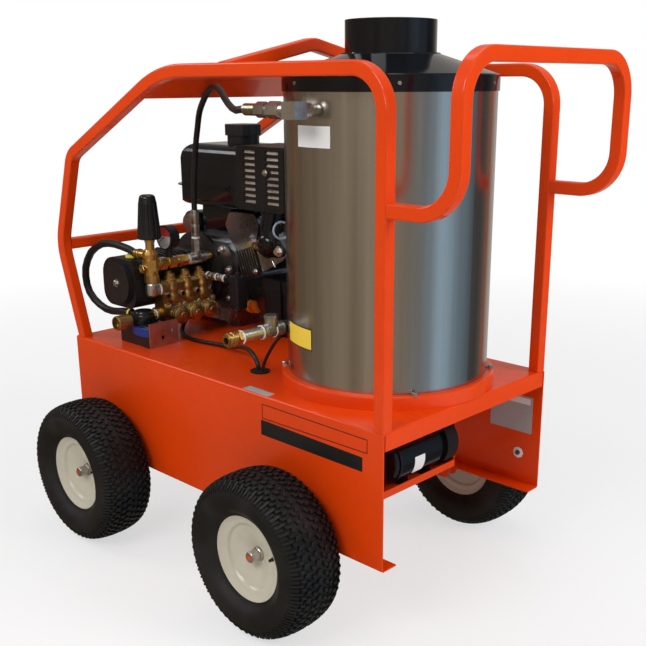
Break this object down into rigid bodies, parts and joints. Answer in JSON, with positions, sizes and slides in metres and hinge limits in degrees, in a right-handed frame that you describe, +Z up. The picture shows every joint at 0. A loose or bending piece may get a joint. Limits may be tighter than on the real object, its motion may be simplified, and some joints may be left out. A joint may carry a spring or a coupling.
{
  "type": "pressure washer",
  "caption": "Four-wheeled portable hot water pressure washer: engine driven pump and upright boiler on a sheet steel chassis with a bent tube roll frame and push handle.",
  "frame": {"origin": "on the floor, midway between the knees of the roll frame and the back of the push handle, on the centre line", "axes": "+X towards the push handle, +Y to the left side, the recoil side of the engine, +Z up"},
  "size_m": [1.1926, 0.8034, 1.147],
  "materials": {
    "orange_paint": "gloss powder coat",
    "cream_paint": "gloss paint",
    "black_paint": "gloss paint",
    "heat_black": "satin heat resistant paint",
    "tyre_rubber": "matt",
    "hose_rubber": "satin",
    "stainless": "brushed",
    "zinc_steel": "zinc plated",
    "coil_steel": "mill finish",
    "engine_aluminium": "cast",
    "pump_iron": "black anodised casting",
    "brass": "cast and turned",
    "black_plastic": "moulded",
    "tank_plastic": "moulded",
    "dipstick_orange": "moulded"
  },
  "bodies": {
    "chassis": {"deck_plate": "orange_paint", "side_panel_left": "orange_paint", "side_panel_right": "orange_paint", "burner_pan": "orange_paint", "axles": "orange_paint", "roll_frame_left": "orange_paint", "roll_frame_right": "orange_paint", "front_crossbar": "orange_paint", "lifting_bail": "orange_paint", "push_handle": "orange_paint", "top_panel": "orange_paint", "boiler_ring": "orange_paint", "boiler_jacket": "stainless", "boiler_cap": "black_paint", "heating_coil": "coil_steel", "coil_inlet": "zinc_steel", "outlet_tee": "zinc_steel", "outlet_coupler": "brass", "burner_housing": "heat_black", "burner_motor": "black_paint", "burner_fuel_tank": "tank_plastic", "battery": "black_plastic", "engine_block": "engine_aluminium", "crankcase_cover": "engine_aluminium", "cylinder_head": "engine_aluminium", "engine_fuel_tank": "black_paint", "muffler": "heat_black", "muffler_guard": "heat_black", "air_cleaner": "black_plastic", "recoil_housing": "black_paint", "pump_flange": "pump_iron", "pump_crankcase": "pump_iron", "pump_head": "brass", "pressure_switch": "black_plastic", "unloader_body": "brass", "outlet_line": "brass", "pressure_gauge": "black_plastic", "inlet_strainer": "black_plastic", "bypass_hose": "hose_rubber", "pressure_hose": "hose_rubber", "engine_cable": "hose_rubber", "sensor_cable": "hose_rubber", "cable_grommet": "hose_rubber"},
    "wheel_front_left": {"tyre_front_left": "tyre_rubber", "rim_front_left": "cream_paint"},
    "wheel_front_right": {"tyre_front_right": "tyre_rubber", "rim_front_right": "cream_paint"},
    "wheel_rear_left": {"tyre_rear_left": "tyre_rubber", "rim_rear_left": "cream_paint"},
    "wheel_rear_right": {"tyre_rear_right": "tyre_rubber", "rim_rear_right": "cream_paint"},
    "knob": {"unloader_knob": "black_plastic"},
    "engine_cap": {"fuel_cap": "black_plastic"},
    "burner_cap": {"filler_cap": "black_plastic"},
    "recoil_grip": {"starter_grip": "black_plastic"},
    "throttle": {"throttle_lever": "black_plastic"},
    "dipstick": {"oil_dipstick": "dipstick_orange"},
    "shaft": {"drive_shaft": "zinc_steel"},
    "sleeve": {"coupler_sleeve": "brass"},
    "swivel": {"inlet_swivel": "brass"}
  },
  "joints": [
    {"name": "wheel_front_left_spin", "type": "hinge", "parent": "chassis", "child": "wheel_front_left", "pos_m": [-0.39299, 0.33605, 0.165], "axis": [0, 1, 0], "continuous": true},
    {"name": "wheel_front_right_spin", "type": "hinge", "parent": "chassis", "child": "wheel_front_right", "pos_m": [-0.39299, -0.33605, 0.165], "axis": [0, 1, 0], "continuous": true},
    {"name": "wheel_rear_left_spin", "type": "hinge", "parent": "chassis", "child": "wheel_rear_left", "pos_m": [0.20791, 0.33605, 0.165], "axis": [0, 1, 0], "continuous": true},
    {"name": "wheel_rear_right_spin", "type": "hinge", "parent": "chassis", "child": "wheel_rear_right", "pos_m": [0.20791, -0.33605, 0.165], "axis": [0, 1, 0], "continuous": true},
    {"name": "knob_turn", "type": "hinge", "parent": "chassis", "child": "knob", "pos_m": [-0.35459, -0.163, 0.74], "axis": [0, 0, 1], "range_deg": [-540, 540]},
    {"name": "engine_cap_turn", "type": "hinge", "parent": "chassis", "child": "engine_cap", "pos_m": [-0.35159, 0.128, 0.91], "axis": [0, 0, 1], "range_deg": [0, 90]},
    {"name": "burner_cap_turn", "type": "hinge", "parent": "chassis", "child": "burner_cap", "pos_m": [-0.00659, 0.205, 0.465], "axis": [0, 0, 1], "range_deg": [0, 180]},
    {"name": "recoil_pull", "type": "slide", "parent": "chassis", "child": "recoil_grip", "axis": [0, 0, 1], "range_m": [0, 0.1], "stiffness_N_per_m": 60, "springref_m": -0.05},
    {"name": "throttle_turn", "type": "hinge", "parent": "chassis", "child": "throttle", "pos_m": [-0.27559, 0.1905, 0.686], "axis": [0, 1, 0], "range_deg": [-20, 20]},
    {"name": "dipstick_turn", "type": "hinge", "parent": "chassis", "child": "dipstick", "pos_m": [-0.26159, 0.062, 0.508], "axis": [1, 0, 0], "range_deg": [0, 540]},
    {"name": "shaft_spin", "type": "hinge", "parent": "chassis", "child": "shaft", "pos_m": [-0.41659, 0.1, 0.588], "axis": [0, 1, 0], "continuous": true},
    {"name": "sleeve_slide", "type": "slide", "parent": "chassis", "child": "sleeve", "axis": [0, 1, 0], "range_m": [0, 0.005], "stiffness_N_per_m": 600, "springref_m": -0.002},
    {"name": "swivel_spin", "type": "hinge", "parent": "chassis", "child": "swivel", "pos_m": [-0.36659, -0.24, 0.506], "axis": [0, 1, 0], "continuous": true}
  ]
}
